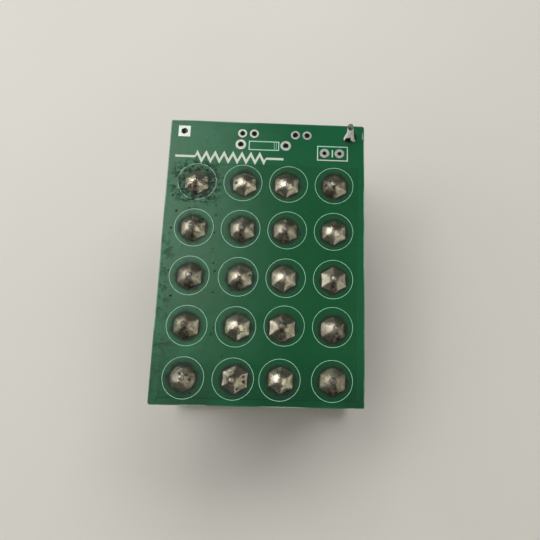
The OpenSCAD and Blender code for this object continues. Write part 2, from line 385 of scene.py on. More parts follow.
def lacquer_finish(name, way):
    """Slate lacquer with colour bands; way is -1 for a resistor that was put in upside down."""
    material, shader, place = new_finish(name, IOR=1.52, Coat_Roughness=0.18)
    along = (place.split()[2] - body_mid_z) * way
    cloud = place.noise(0.45, 3.0)
    grain = place.noise(7.0, 2.0)
    from_mid = abs(along)
    colour = cloud.rise(0.3, 0.7).over(slate_dark, slate_pale)
    pool = from_mid.rise(body_end - 0.7, body_end + 0.1)
    colour = (pool * 0.55).over(colour, slate_pool)
    waist = from_mid.rise(cap_from + 0.5, cap_from - 0.4) * from_mid.rise(cap_from - 1.4, cap_from - 0.3)
    colour = (waist * 0.35).over(colour, slate_waist)
    wobble = along + (place.noise(0.9, 2.0) - 0.5) * 0.22
    painted = None
    for centre, paint in bands:
        band = abs(wobble - centre).rise(band_w / 2 + band_edge, band_w / 2 - band_edge)
        colour = (band * (0.9 + 0.1 * grain)).over(colour, paint)
        painted = band if painted is None else painted + band
    chip = place.noise(2.6, 3.0).rise(0.7, 0.74)
    colour = (chip * 0.25).over(colour, chip_pale)
    relief = cloud * 0.5 + grain * 0.12 + painted * 0.5
    feed(
        shader,
        Base_Color=colour,
        Roughness=0.36 + 0.16 * grain,
        Coat_Weight=0.25 + 0.25 * cloud,
        Normal=relief.bump(0.04),
    )
    return material


lacquers = {1: lacquer_finish("slate_lacquer_up", 1), -1: lacquer_finish("slate_lacquer_down", -1)}
turned_over = {(1, 3), (2, 1), (3, 4), (4, 2), (5, 1), (5, 3)}
for row, column in spots:
    node_name = f"resistor_{row}_{column}"
    dress(node_name, lacquers[-1 if (row, column) in turned_over else 1])

# The leads are tinned copper wire, passed through the boards and nipped off over the solder, so
# each end is pinched to a blunt edge that lies at its own angle.
lead_low, lead_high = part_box("upper_leads")
lower_lead_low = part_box("lower_leads")[0]
lead_r = 0.4
lead_len = (lead_high.z - lead_low.z) / mm
nip_rim = 0.2
nip_pinch = (0.55, 0.8)
nip_tilt = 9
covered = {(1, 1), (1, 2), (1, 3), (2, 4), (3, 2), (3, 3), (4, 2), (5, 3)}
covered_by = 0.55
half_covered = {
    (2, 1): 0.2,
    (2, 3): 0.1,
    (3, 1): 0.12,
    (4, 1): 0.16,
    (4, 3): 0.14,
    (4, 4): 0.16,
    (5, 4): 0.2,
}
tip_shift = {
    (1, 4): (-0.3, 0.0),
    (2, 1): (-0.12, 0.1),
    (4, 1): (-0.2, 0.1),
    (4, 3): (0.05, 0.2),
    (4, 4): (0.5, 0.05),
    (5, 2): (-0.4, -0.2),
}
tip_soot = {(2, 1): 0.5, (2, 2): 0.55, (2, 3): 0.5, (4, 1): 0.7, (4, 3): 0.6, (4, 4): 0.5, (5, 4): 0.5}
usual_soot = 0.25
tidy_hand = random.Random(7)


def deselect_all():
    if bpy.context.mode != "OBJECT":
        bpy.ops.object.mode_set(mode="OBJECT")
    bpy.ops.object.select_all(action="DESELECT")


def activate(piece):
    """Selects one piece alone, for the operators that follow."""
    deselect_all()
    piece.select_set(True)
    bpy.context.view_layer.objects.active = piece


def pick(piece, test):
    """Selects, in edit mode, the vertices whose place in millimetres passes a test."""
    if bpy.context.mode == "OBJECT":
        bpy.ops.object.mode_set(mode="EDIT")
    bpy.ops.mesh.select_mode(type="VERT")
    bpy.ops.mesh.select_all(action="DESELECT")
    cage = bmesh.from_edit_mesh(piece.data)
    for vertex in cage.verts:
        vertex.select = test(vertex.co / mm)
    cage.select_flush(True)
    bmesh.update_edit_mesh(piece.data)


def placed_copy(pattern, place, turn=0.0, flip=False, stretch=(1, 1, 1)):
    """A copy with its own mesh, set on the board at a place in millimetres; flip hangs it downwards."""
    twin = pattern.copy()
    twin.data = pattern.data.copy()
    bpy.context.scene.collection.objects.link(twin)
    over = Matrix.Rotation(math.pi, 4, "Y") if flip else Matrix.Identity(4)
    sizes = Matrix.Diagonal((*stretch, 1))
    spin = Matrix.Rotation(math.radians(turn), 4, "Z")
    twin.data.transform(Matrix.Translation(Vector(place) * mm) @ over @ spin @ sizes)
    return twin


def joined(pieces, name, material):
    """Several pieces made one, under one name and finish."""
    deselect_all()
    for piece in pieces:
        piece.select_set(True)
    bpy.context.view_layer.objects.active = pieces[0]
    bpy.ops.object.join()
    whole = bpy.context.object
    whole.name = name
    whole.data.name = name
    whole.data.materials.clear()
    whole.data.materials.append(material)
    return whole


def smooth(piece, angle):
    activate(piece)
    bpy.ops.object.shade_smooth_by_angle(angle=math.radians(angle))


def tinned_finish(name, bright, dark, roughness):
    """Drawn wire with a skin of tin, which dulls and takes soot at a cut end."""
    material, shader, place = new_finish(name, Metallic=1.0)
    drawn = place.node("ShaderNodeMapping", {}, {"Vector": place, "Scale": (9, 9, 0.7)}).noise(1.0, 3.0)
    dull = place.noise(1.1, 3.0)
    soot = place.attribute("soot")
    colour = soot.over(dull.rise(0.35, 0.7).over(bright, dark), (0.05, 0.04, 0.03, 1))
    feed(
        shader,
        Base_Color=colour,
        Roughness=roughness + 0.2 * drawn + 0.2 * soot,
        Normal=(drawn + dull * 0.5).bump(0.012),
    )
    return material


wire_finish = tinned_finish("tinned_wire", (0.74, 0.72, 0.67, 1), (0.55, 0.53, 0.48, 1), 0.32)

deselect_all()
bpy.ops.mesh.primitive_cylinder_add(
    vertices=20, radius=lead_r * mm, depth=lead_len * mm, location=(0, 0, -lead_len / 2 * mm)
)
lead_pattern = bpy.context.object
bpy.ops.object.transform_apply(location=True)
pick(lead_pattern, lambda co: co.z > -0.01)
bpy.ops.mesh.bevel(offset=nip_rim * mm, segments=3, profile=0.6)
pick(lead_pattern, lambda co: co.z > -0.02)
bpy.ops.transform.resize(value=(*nip_pinch, 1), center_override=(0, 0, 0))
bpy.ops.transform.rotate(value=math.radians(nip_tilt), orient_axis="Y", center_override=(0, 0, 0))
bpy.ops.object.mode_set(mode="OBJECT")


def lean(piece, floors, shift):
    """Pushes what lies over each of some heights aside by an equal share of a shift."""
    activate(piece)
    for floor_z in floors:
        pick(piece, lambda co, floor_z=floor_z: co.z > floor_z)
        step = (shift[0] * mm / len(floors), shift[1] * mm / len(floors), 0)
        bpy.ops.transform.translate(value=step)
    bpy.ops.object.mode_set(mode="OBJECT")


def cut_leads(name, tip_z, side):
    """The lead ends of one board; side is -1 on the lower board, where they point down."""
    wires = []
    for key, spot in spots.items():
        turned = placed_copy(lead_pattern, (0, 0, 0), tidy_hand.uniform(0, 180))
        lean(turned, (-lead_len / 2,), tip_shift.get(key, (0, 0)))
        sunk = covered_by if key in covered else half_covered.get(key, 0.0)
        wire = placed_copy(turned, (spot.x, spot.y, tip_z - side * sunk), 0, side < 0)
        soot = wire.data.attributes.new("soot", "FLOAT", "POINT")
        soot.data.foreach_set("value", [tip_soot.get(key, usual_soot)] * len(wire.data.vertices))
        wires.append(wire)
        bpy.data.objects.remove(turned)
    whole = joined(wires, name, wire_finish)
    smooth(whole, 35)
    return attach(whole, "root")


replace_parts(cut_leads("upper_wire_ends", lead_high.z / mm, 1), "upper_leads")
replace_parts(cut_leads("lower_wire_ends", lower_lead_low.z / mm, -1), "lower_leads")
bpy.data.objects.remove(lead_pattern)

# Solder drew itself out to the corners of each hexagonal pad and up its lead, and most joints set
# as soft six-sided domes. Three have a tent's hollow sides and sharp toes, one ran round, and the
# first one burnt.
pad_corner_r = 3.95 / math.sqrt(3)
side_cuts = 3
foot_depth = 0.05
toe_creases = ((0.4, 0.3), (0.7, 0.1))
tent_feet = (0.975, 1.02, 0.99, 0.985, 0.99, 1.02, 0.975, 1.03, 0.94, 1.05, 0.94, 1.03)
dome_feet = (0.985, 1.02, 1.03, 0.97, 1.05, 0.98, 1.04, 1.0, 1.0, 1.02, 0.95, 1.03)
tent_rings = [
    (0.04, 0.985, 0.0),
    (0.26, 0.80, 0.08),
    (0.52, 0.59, 0.25),
    (0.80, 0.39, 0.55),
    (1.05, 0.27, 0.9),
    (1.20, 0.21, 1.0),
]
dome_rings = [
    (0.06, 0.985, 0.0),
    (0.42, 0.83, 0.1),
    (0.76, 0.64, 0.35),
    (1.00, 0.44, 0.7),
    (1.13, 0.24, 1.0),
    (1.17, 0.11, 1.0),
]
sharp = {(3, 4), (4, 3), (5, 2)}
ran_round = {(5, 1)}
burnt = (1, 1)


def corner_share(co):
    """0 at a corner of the pad's hexagon, 1 at the middle of a side."""
    angle = math.degrees(math.atan2(co.y, co.x)) + 30
    return 1 - abs(angle % 60 - 30) / 30


def reach_of(co, feet):
    """How far the foot runs out in a direction, by its share of the pad at every 30 degrees."""
    turn = math.degrees(math.atan2(co.y, co.x)) % 360 / 30
    before = int(turn)
    share = turn - before
    return feet[before % 12] * (1 - share) + feet[(before + 1) % 12] * share


def joint_cage(name, rings, feet, roundness, sharpness):
    """The rough form of one joint over the origin, a ring at a time from its foot to its crown."""
    deselect_all()
    bpy.ops.mesh.primitive_circle_add(
        vertices=6, radius=pad_corner_r * mm, fill_type="NGON", location=(0, 0, -foot_depth * mm)
    )
    cage = bpy.context.object
    cage.name = name
    bpy.ops.object.transform_apply(location=True)
    bpy.ops.object.mode_set(mode="EDIT")
    bpy.ops.mesh.select_all(action="SELECT")
    bpy.ops.mesh.subdivide(number_cuts=side_cuts)
    outline = bmesh.from_edit_mesh(cage.data).verts
    for reach in sorted({round(reach_of(vertex.co, feet), 4) for vertex in outline}):
        pick(cage, lambda co, reach=reach: abs(reach_of(co, feet) - reach) < 0.0001)
        bpy.ops.transform.resize(value=(reach, reach, 1), center_override=(0, 0, 0))
    bpy.ops.mesh.select_all(action="SELECT")
    if roundness:
        bpy.ops.transform.tosphere(value=roundness)
    height = -foot_depth
    size = 1.0
    for ring_z, ring_size, ring_round in rings:
        step = (0, 0, (ring_z - height) * mm)
        bpy.ops.mesh.extrude_region_move(TRANSFORM_OT_translate={"value": step})
        shrink = ring_size / size
        bpy.ops.transform.resize(value=(shrink, shrink, 1), center_override=(0, 0, 0))
        if ring_round:
            bpy.ops.transform.tosphere(value=ring_round)
        height = ring_z
        size = ring_size
    bpy.ops.mesh.select_all(action="SELECT")
    bpy.ops.mesh.normals_make_consistent(inside=False)
    for top, crease in toe_creases:
        pick(cage, lambda co, top=top: corner_share(co) < 0.05 and co.z < top)
        bpy.ops.transform.edge_crease(value=crease * sharpness)
    bpy.ops.object.mode_set(mode="OBJECT")
    return cage


def roughen(piece, size_mm, strength_mm):
    """Lumps of a given size all over a piece."""
    lumps = bpy.data.textures.new("solder_lumps", "CLOUDS")
    lumps.noise_scale = size_mm * mm
    activate(piece)
    bpy.ops.object.modifier_add(type="DISPLACE")
    displace = piece.modifiers[-1]
    displace.texture = lumps
    displace.texture_coords = "LOCAL"
    displace.strength = strength_mm * mm
    displace.mid_level = 0.5
    bpy.ops.object.modifier_apply(modifier=displace.name)


def refine(piece, levels):
    activate(piece)
    bpy.ops.object.modifier_add(type="SUBSURF")
    subdivision = piece.modifiers[-1]
    subdivision.levels = levels
    subdivision.render_levels = levels
    bpy.ops.object.modifier_apply(modifier=subdivision.name)


solder_grey = (0.62, 0.59, 0.465, 1)
solder_bright = (0.82, 0.785, 0.65, 1)
flux_brown = (0.28, 0.20, 0.095, 1)
mottle_brown = (0.16, 0.125, 0.085, 1)
soot_and_shade_brown = (0.036, 0.026, 0.015, 1)
solder_finish, solder_shader, solder_place = new_finish("hand_solder", Metallic=1.0)
soot_and_shade_mark = solder_place.attribute("soot")
solder_cloud = solder_place.noise(0.55, 3.0)
frost = solder_place.noise(4.5, 3.0, 0.6)
frosted = solder_place.noise(0.11, 1.0).rise(0.45, 0.6)
solder_colour = solder_cloud.rise(0.3, 0.7).over(solder_grey, solder_bright)
flux_film = solder_place.noise(0.7, 4.0, 0.65).rise(0.5, 0.7)
solder_colour = (flux_film * 0.55).over(solder_colour, flux_brown)
mottle = solder_place.noise(1.7, 4.0, 0.65).rise(0.52, 0.66)
solder_colour = (mottle * 0.35).over(solder_colour, mottle_brown)
# The soot attribute darkens the solder with soot and with painted shade
soot_and_shade_cover = soot_and_shade_mark * (0.55 + 0.5 * solder_place.noise(1.6, 4.0, 0.65).rise(0.3, 0.65))
solder_colour = soot_and_shade_cover.over(solder_colour, soot_and_shade_brown)
solder_relief = solder_cloud * 0.4 + frost * (0.1 + 0.16 * frosted) + mottle * 0.15
feed(
    solder_shader,
    Base_Color=solder_colour,
    Roughness=0.21 + 0.12 * frosted + 0.12 * frost + 0.3 * soot_and_shade_mark,
    Normal=solder_relief.bump(0.06),
)

tent_cage = joint_cage("tent_cage", tent_rings, tent_feet, 0.0, 1.0)
dome_cage = joint_cage("dome_cage", dome_rings, dome_feet, 0.0, 0.35)
round_cage = joint_cage("round_cage", dome_rings, tent_feet, 1.0, 0.0)
round_size = 0.98
crown_floors = (0.3, 0.6, 0.85, 1.05)
crown_stray = 0.15
lot_lumps = {"even": (1.2, 0.07), "burnt": (0.8, 0.2), "round": (0.9, 0.26)}
fine_lumps = (0.4, 0.035)
dullness = {
    (1, 1): 0.05,
    (1, 4): 0.25,
    (2, 1): 0.1,
    (2, 2): 0.15,
    (2, 3): 0.3,
    (3, 1): 0.35,
    (3, 2): 0.12,
    (3, 4): 0.18,
    (4, 1): 0.18,
    (4, 3): 0.12,
    (4, 4): 0.34,
    (5, 1): 0.45,
    (5, 2): 0.12,
    (5, 4): 0.3,
}
pit_r = 0.21
pit_depth = 0.3
sooty_pit_shade = 1.5
groove_r = 0.45
groove_w = 0.42
sooty_groove_shade = 0.85
stem_and_foot_wedges = {
    (1, 1): 0.5,
    (1, 4): 0.9,
    (2, 1): 0.9,
    (2, 2): 1.0,
    (2, 3): 1.1,
    (3, 1): 1.6,
    (3, 2): 1.1,
    (3, 4): 0.8,
    (4, 1): 1.6,
    (4, 3): 0.8,
    (4, 4): 1.3,
    (5, 4): 1.3,
}
stem_top = 0.35
stem_len = 1.9
stem_and_foot_shade = 0.9
scorched_west = (1, 4)
west_soot = 0.7
pits = {
    (1, 1): [(-0.85, -1.0), (0.2, 0.2)],
    (1, 2): [(-1.3, 0.9), (-1.38, -0.1)],
    (1, 4): [(-0.75, 0.65), (-1.5, -0.1)],
    (3, 2): [(1.6, 0.4)],
    (5, 1): [(-0.3, 0.65), (0.65, 0.45), (1.2, -0.2)],
    (5, 2): [(1.3, 0.4), (1.35, -0.3), (0.35, -1.5)],
}


def solder_joints(name, face_z, side):
    """The twenty joints of one board; side is -1 on the lower board."""
    lots = {"even": [], "burnt": [], "round": []}
    for key, spot in spots.items():
        pattern, lot, size = dome_cage, "even", tidy_hand.uniform(0.98, 1.02)
        if key in sharp:
            pattern = tent_cage
        if key == burnt:
            lot = "burnt"
        if key in ran_round:
            pattern, lot, size = round_cage, "round", round_size
        rise = tidy_hand.uniform(0.96, 1.06)
        turn = tidy_hand.uniform(-3, 3)
        cage = placed_copy(pattern, (0, 0, 0), turn, False, (size, size, rise))
        stray_x = tidy_hand.uniform(-crown_stray, crown_stray)
        stray_y = tidy_hand.uniform(-crown_stray, crown_stray)
        lean(cage, crown_floors, tip_shift.get(key, (stray_x, stray_y)))
        lots[lot].append(placed_copy(cage, (spot.x, spot.y, face_z), 0, side < 0))
        bpy.data.objects.remove(cage)
    finished = []
    for lot, lumps in lot_lumps.items():
        piece = joined(lots[lot], f"{name}_{lot}", solder_finish)
        refine(piece, 2)
        roughen(piece, *lumps)
        roughen(piece, *fine_lumps)
        finished.append(piece)
    whole = joined(finished, name, solder_finish)
    sink_pits(whole, side)
    smooth(whole, 50)
    darken_soot_and_shade(whole, side)
    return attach(whole, "root")


def pit_places(side):
    """Where the pits of one board's joints are."""
    for key, holes in pits.items():
        for hole_x, hole_y in holes:
            yield spots[key].x + side * hole_x, spots[key].y + hole_y


def sink_pits(piece, side):
    """Presses each pit into the solder in two steps, so that its rim is round."""
    for pit_x, pit_y in pit_places(side):
        for reach in (pit_r, pit_r * 0.6):
            pick(piece, lambda co, reach=reach: math.hypot(co.x - pit_x, co.y - pit_y) < reach)
            bpy.ops.transform.translate(value=(0, 0, -side * pit_depth / 2 * mm))
    bpy.ops.object.mode_set(mode="OBJECT")


def darken_soot_and_shade(piece, side):
    """Darkens the joints: dull solder, and soot with painted shade in the pits, in the groove where solder
    meets a bare lead, and down a near-side wedge that is partly a stem of flux that ran from it.
    """
    # The soot attribute holds soot and dull solder, and painted shade in pits, grooves and the near-side
    # wedges
    soot = piece.data.attributes.new("soot", "FLOAT", "POINT")
    holes = list(pit_places(side))
    for vertex in piece.data.vertices:
        x, y = vertex.co.x / mm, vertex.co.y / mm
        key = min(spots, key=lambda spot_key: math.hypot(x - spots[spot_key].x, y - spots[spot_key].y))
        dark = dullness.get(key, 0.0)
        # Painted shade, partly soot: each pit is darkened towards its middle
        to_pit = min(math.hypot(x - px, y - py) for px, py in holes)
        dark = max(dark, sooty_pit_shade * (1 - to_pit / pit_r))
        shift_x, shift_y = tip_shift.get(key, (0, 0))
        away_x = x - spots[key].x - side * shift_x
        away_y = y - spots[key].y - shift_y
        # Painted shade, partly a stem of flux: a dark wedge widens down the near side of the joint
        if key in stem_and_foot_wedges and away_y < 0:
            stem_half = stem_top + stem_and_foot_wedges[key] * min(1.0, -away_y / stem_len)
            dark = max(dark, min(stem_and_foot_shade, 1.5 * (1 - abs(away_x) / stem_half)))
        # Painted shade, partly soot: a dark ring in the groove round each bare lead
        if key not in covered and key not in ran_round:
            past_groove = max(0.0, math.hypot(away_x, away_y) - groove_r)
            dark = max(dark, sooty_groove_shade * (1 - past_groove / groove_w))
            if key == scorched_west:
                dark = max(dark, west_soot * min(1.0, 0.6 - away_x))
        soot.data[vertex.index].value = min(1.0, max(0.0, dark))


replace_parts(solder_joints("upper_solder", upper_high.z / mm, 1), "upper_joints")
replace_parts(solder_joints("lower_solder", lower_low.z / mm, -1), "lower_joints")
for cage in (tent_cage, dome_cage, round_cage):
    bpy.data.objects.remove(cage)

# White ink is screened on the outer face of each board: a ring round every joint, the outlines of
# a diode and a capacitor, and a resistor symbol, in lines that came out a little ragged.
ink_t = 0.02
ring_r = 3.175
ring_line = 0.07
ring_first_y = half_l - 11.08
ring_pitch = (7.62, 8.03)
ring_shift = {(3, 1): (-0.18, 0.0), (4, 3): (0.0, 0.33), (4, 4): (0.0, 0.3), (5, 3): (-0.46, 0.0)}
box_line = 0.17
diode_box = (-3.16, 2.01, half_l - 4.25, 1.7)
diode_bands = (1.16, 1.5)
capacitor_box = (8.48, 13.72, half_l - 5.25, 2.7)
capacitor_tick = (11.08, 1.35, 0.22)
symbol_y = half_l - 6.6
symbol_from = -15.2
symbol_lead = 2.9
symbol_tooth = 1.5
symbol_teeth = 8
symbol_height = 1.5
symbol_line = 0.4
ink_mint = (0.46, 0.87, 0.67, 1)
ink_white = (0.72, 0.82, 0.70, 1)
ink_worn = (0.10, 0.26, 0.16, 1)
ink_burnt = (0.02, 0.05, 0.03, 1)

ink_finish, ink_shader, ink_place = new_finish("white_ink", IOR=1.48)
ink_x, ink_y, ink_z = ink_place.split()
ink_thin = ink_place.noise(1.3, 3.0).rise(0.6, 0.8)
ink_thick = abs(ink_y - symbol_y).rise(symbol_height, symbol_height * 0.8)
ink_colour = ink_thick.over(ink_mint, ink_white)
ink_colour = (ink_thin * 0.6).over(ink_colour, ink_worn)
ink_from_burnt = distance(abs(ink_x), ink_y, (-burnt_spot.x, burnt_spot.y))
ink_scorched = (ink_x * ink_z.rise(*between_boards)).rise(0.0, -1.0) * ink_from_burnt.rise(3.8, 3.0)
ink_scorched = ink_scorched * ink_place.noise(1.1, 3.0, 0.6).rise(0.42, 0.56)
ink_colour = (ink_scorched * 0.85).over(ink_colour, ink_burnt)
feed(
    ink_shader,
    Base_Color=ink_colour,
    Roughness=0.45 + 0.2 * ink_thin,
    Normal=ink_place.noise(5.0, 2.0).bump(0.01),
)


def printed_ring():
    """A thin circle round the origin: an edge loop, drawn in by the line's width."""
    deselect_all()
    bpy.ops.mesh.primitive_circle_add(vertices=96, radius=(ring_r + ring_line / 2) * mm)
    ring = bpy.context.object
    bpy.ops.object.mode_set(mode="EDIT")
    bpy.ops.mesh.select_all(action="SELECT")
    bpy.ops.mesh.extrude_edges_move()
    shrink = (ring_r - ring_line / 2) / (ring_r + ring_line / 2)
    bpy.ops.transform.resize(value=(shrink, shrink, 1), center_override=(0, 0, 0))
    bpy.ops.object.mode_set(mode="OBJECT")
    return ring


def printed_bar(x, y, width, height):
    """A filled bar with its corners cut off, as thin ink has."""
    deselect_all()
    bpy.ops.mesh.primitive_plane_add(size=mm, location=(x * mm, y * mm, 0))
    bar = bpy.context.object
    bar.scale = (width, height, 1)
    bpy.ops.object.transform_apply(location=True, scale=True)
    bpy.ops.object.mode_set(mode="EDIT")
    bpy.ops.mesh.select_all(action="SELECT")
    bpy.ops.mesh.bevel(offset=min(width, height) * 0.2 * mm, affect="VERTICES")
    bpy.ops.object.mode_set(mode="OBJECT")
    return bar


def printed_box(x_from, x_to, y, height):
    """The outline of a box: one face, inset by the line and opened in the middle."""
    deselect_all()
    bpy.ops.mesh.primitive_plane_add(size=mm, location=((x_from + x_to) / 2 * mm, y * mm, 0))
    box = bpy.context.object
    box.scale = (x_to - x_from, height, 1)
    bpy.ops.object.transform_apply(location=True, scale=True)
    bpy.ops.object.mode_set(mode="EDIT")
    bpy.ops.mesh.select_all(action="SELECT")
    bpy.ops.mesh.inset(thickness=box_line * mm)
    bpy.ops.mesh.delete(type="FACE")
    bpy.ops.object.mode_set(mode="OBJECT")
    return box


def printed_zigzag():
    """A resistor symbol: a straight lead, a run of teeth and a second lead, as one ribbon."""
    slope = math.hypot(symbol_tooth / 2, symbol_height) / (symbol_tooth / 2)
    corners = [(symbol_lead, 0.0, 1.0), (symbol_tooth / 4, symbol_height / 2, slope)]
    for tooth in range(symbol_teeth * 2 - 1):
        corners.append((symbol_tooth / 2, symbol_height * (-1) ** (tooth + 1), slope))
    corners.append((symbol_tooth / 4, symbol_height / 2, 1.0))
    corners.append((symbol_lead, 0.0, 1.0))
    deselect_all()
    start = (symbol_from * mm, symbol_y * mm, 0)
    bpy.ops.mesh.primitive_plane_add(size=symbol_line * mm, location=start)
    ribbon = bpy.context.object
    bpy.ops.object.transform_apply(location=True)
    x, y, width = symbol_from + symbol_line / 2, symbol_y, 1.0
    pick(ribbon, lambda co: co.x > symbol_from)
    for step_x, step_y, slope in corners:
        move = {"value": (step_x * mm, step_y * mm, 0)}
        bpy.ops.mesh.extrude_region_move(TRANSFORM_OT_translate=move)
        x += step_x
        y += step_y
        bpy.ops.transform.resize(value=(1, slope / width, 1), center_override=(x * mm, y * mm, 0))
        width = slope
    bpy.ops.object.mode_set(mode="OBJECT")
    return ribbon


def screened_print(name, face_z, flip):
    """All the ink of one board, laid out on its face and given its thickness."""
    ring = printed_ring()
    middle_column = (len(columns) + 1) / 2
    marks = []
    for row, column in spots:
        shift_x, shift_y = ring_shift.get((row, column), (0, 0))
        ring_x = (column - middle_column) * ring_pitch[0] + shift_x
        ring_y = ring_first_y - (row - 1) * ring_pitch[1] + shift_y
        marks.append(placed_copy(ring, (ring_x, ring_y, 0)))
    bpy.data.objects.remove(ring)
    marks.append(printed_box(*diode_box))
    for band_x in diode_bands:
        marks.append(printed_bar(band_x, diode_box[2], ring_line, diode_box[3] - box_line))
    marks.append(printed_box(*capacitor_box))
    tick_x, tick_h, tick_w = capacitor_tick
    marks.append(printed_bar(tick_x, capacitor_box[2], tick_w, tick_h))
    marks.append(printed_zigzag())
    sheet = joined(marks, name, ink_finish)
    bpy.ops.object.mode_set(mode="EDIT")
    bpy.ops.mesh.select_all(action="SELECT")
    bpy.ops.mesh.normals_make_consistent(inside=False)
    bpy.ops.object.mode_set(mode="OBJECT")
    bpy.ops.object.modifier_add(type="SOLIDIFY")
    solidify = sheet.modifiers[-1]
    solidify.thickness = ink_t * mm
    solidify.offset = 1
    bpy.ops.object.modifier_apply(modifier=solidify.name)
    over = Matrix.Rotation(math.pi, 4, "Y") if flip else Matrix.Identity(4)
    sheet.data.transform(Matrix.Translation((0, 0, face_z * mm)) @ over)
    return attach(sheet, "root")


screened_print("upper_print", upper_high.z / mm, False)
screened_print("lower_print", lower_low.z / mm, True)

# Rosin that boiled off the first joint set as brittle glassy chips. They lie flat on the mask beside
# it, thin and half clear, with broken corners.
chip_count = 16
chip_t = 0.1
chip_taper = (0.8, 0.7, 1)
chip_tilt = 4
chip_turns = (-110, 60)
chip_reaches = (2.45, 3.05)
chip_sizes = (0.16, 0.42)
rosin_dark = (0.012, 0.016, 0.010, 1)
rosin_pale = (0.09, 0.11, 0.065, 1)
chip_hand = random.Random(21)
rosin_finish, rosin_shader, rosin_place = new_finish("burnt_rosin", IOR=1.53, Alpha=0.6)
rosin_cloud = rosin_place.noise(1.2, 3.0)
feed(
    rosin_shader,
    Base_Color=rosin_cloud.rise(0.4, 0.65).over(rosin_dark, rosin_pale),
    Roughness=0.08 + 0.2 * rosin_cloud,
    Normal=rosin_place.noise(3.0, 3.0).bump(0.05),
)
chips = []
for _ in range(chip_count):
    deselect_all()
    corners = chip_hand.choice((4, 5, 5, 6))
    bpy.ops.mesh.primitive_circle_add(vertices=corners, radius=mm, fill_type="NGON")
    flake = bpy.context.object
    bpy.ops.object.mode_set(mode="EDIT")
    bpy.ops.mesh.select_all(action="SELECT")
    bpy.ops.mesh.extrude_region_move(TRANSFORM_OT_translate={"value": (0, 0, chip_t * mm)})
    bpy.ops.transform.resize(value=chip_taper, center_override=(0, 0, 0))
    tilt = math.radians(chip_hand.uniform(-chip_tilt, chip_tilt))
    bpy.ops.transform.rotate(value=tilt, orient_axis="X", center_override=(0, 0, chip_t * mm))
    bpy.ops.mesh.select_all(action="SELECT")
    bpy.ops.mesh.normals_make_consistent(inside=False)
    bpy.ops.object.mode_set(mode="OBJECT")
    angle = math.radians(chip_hand.uniform(*chip_turns))
    reach = chip_hand.uniform(*chip_reaches)
    chip_x = burnt_spot.x + reach * math.cos(angle)
    chip_y = burnt_spot.y + reach * math.sin(angle)
    size = chip_hand.uniform(*chip_sizes)
    stretch = (size, size * chip_hand.uniform(0.5, 1.0), 1)
    turn = math.degrees(angle) + chip_hand.uniform(60, 120)
    chips.append(placed_copy(flake, (chip_x, chip_y, upper_high.z / mm), turn, False, stretch))
    bpy.data.objects.remove(flake)
rosin = joined(chips, "rosin_chips", rosin_finish)
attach(rosin, "root")

# A bare wire links one corner of the upper board to the lower one. Solder climbs its upper end in a
# tall bright cone with a star-shaped skirt.
dress("link_wire", tinned_finish("dull_wire", (0.36, 0.345, 0.31, 1), (0.24, 0.225, 0.2, 1), 0.42))
dress("link_lower_joint", solder_finish)
skirt_reach = (0.6, 0.62, 0.75, 0.9, 0.8, 0.85, 1.0, 1.0, 1.1, 1.42, 1.48, 0.8, 0.6, 1.0, 1.42, 0.85)
skirt_step = 360 / len(skirt_reach)
arch_turn = 243
arch_spread = 27
arch_h = 0.9
cone_lumps = (0.7, 0.1)
cone_rings = [
    (0.10, 0.94, 0.0),
    (0.40, 0.84, 0.15),
    (0.90, 0.73, 0.32),
    (1.50, 0.64, 0.45),
    (2.20, 0.57, 0.65),
    (2.85, 0.53, 0.95),
    (3.20, 0.51, 1.0),
    (3.35, 0.45, 1.0),
]
lean_share = -0.105
cone_white = (0.93, 0.92, 0.89, 1)
cone_bright = (0.98, 0.975, 0.96, 1)
cone_stain = (0.12, 0.09, 0.06, 1)
arch_shadow_dark = (0.02, 0.016, 0.01, 1)
cone_finish, cone_shader, cone_place = new_finish("frosted_solder")
cone_frost = cone_place.noise(1.6, 4.0, 0.6)
cone_colour = cone_frost.rise(0.3, 0.6).over(cone_white, cone_bright)
cone_dark = cone_place.noise(1.1, 3.0, 0.6).rise(0.6, 0.72)
cone_colour = (cone_dark * 0.15).over(cone_colour, cone_stain)
# Painted shadow: under the arch of the skirt the solder is made near black, through the soot attribute
cone_colour = cone_place.attribute("soot").over(cone_colour, arch_shadow_dark)
cone_facing = cone_place.facing()
cone_scraped = (cone_facing[0] * -0.5 - cone_facing[1] * 0.85).rise(-0.2, 0.3)
feed(
    cone_shader,
    Base_Color=cone_colour,
    Metallic=1 - cone_scraped,
    Roughness=0.3 + 0.25 * cone_frost,
    Normal=(cone_frost + cone_place.noise(7.0, 2.0) * 0.2).bump(0.1),
)


def at_angle(co, angle, spread):
    """Whether a place lies in a direction from the origin, within a spread in degrees."""
    away = math.degrees(math.atan2(co.y, co.x)) - angle
    return abs((away + 180) % 360 - 180) < spread


deselect_all()
bpy.ops.mesh.primitive_circle_add(vertices=len(skirt_reach), radius=mm, fill_type="NGON")
link_cone = bpy.context.object
for toe, reach in enumerate(skirt_reach):
    pick(link_cone, lambda co, toe=toe: at_angle(co, toe * skirt_step, skirt_step / 2))
    bpy.ops.transform.resize(value=(reach, reach, 1), center_override=(0, 0, 0))
bpy.ops.mesh.select_all(action="SELECT")
cone_z, cone_size = 0.0, 1.0
for ring_z, ring_size, ring_round in cone_rings:
    step = (lean_share * (ring_z - cone_z) * mm, 0, (ring_z - cone_z) * mm)
    bpy.ops.mesh.extrude_region_move(TRANSFORM_OT_translate={"value": step})
    shrink = ring_size / cone_size
    ring_middle = (lean_share * ring_z * mm, 0, ring_z * mm)
    bpy.ops.transform.resize(value=(shrink, shrink, 1), center_override=ring_middle)
    if ring_round:
        bpy.ops.transform.tosphere(value=ring_round, center_override=ring_middle)
    cone_z, cone_size = ring_z, ring_size
bpy.ops.mesh.select_all(action="SELECT")
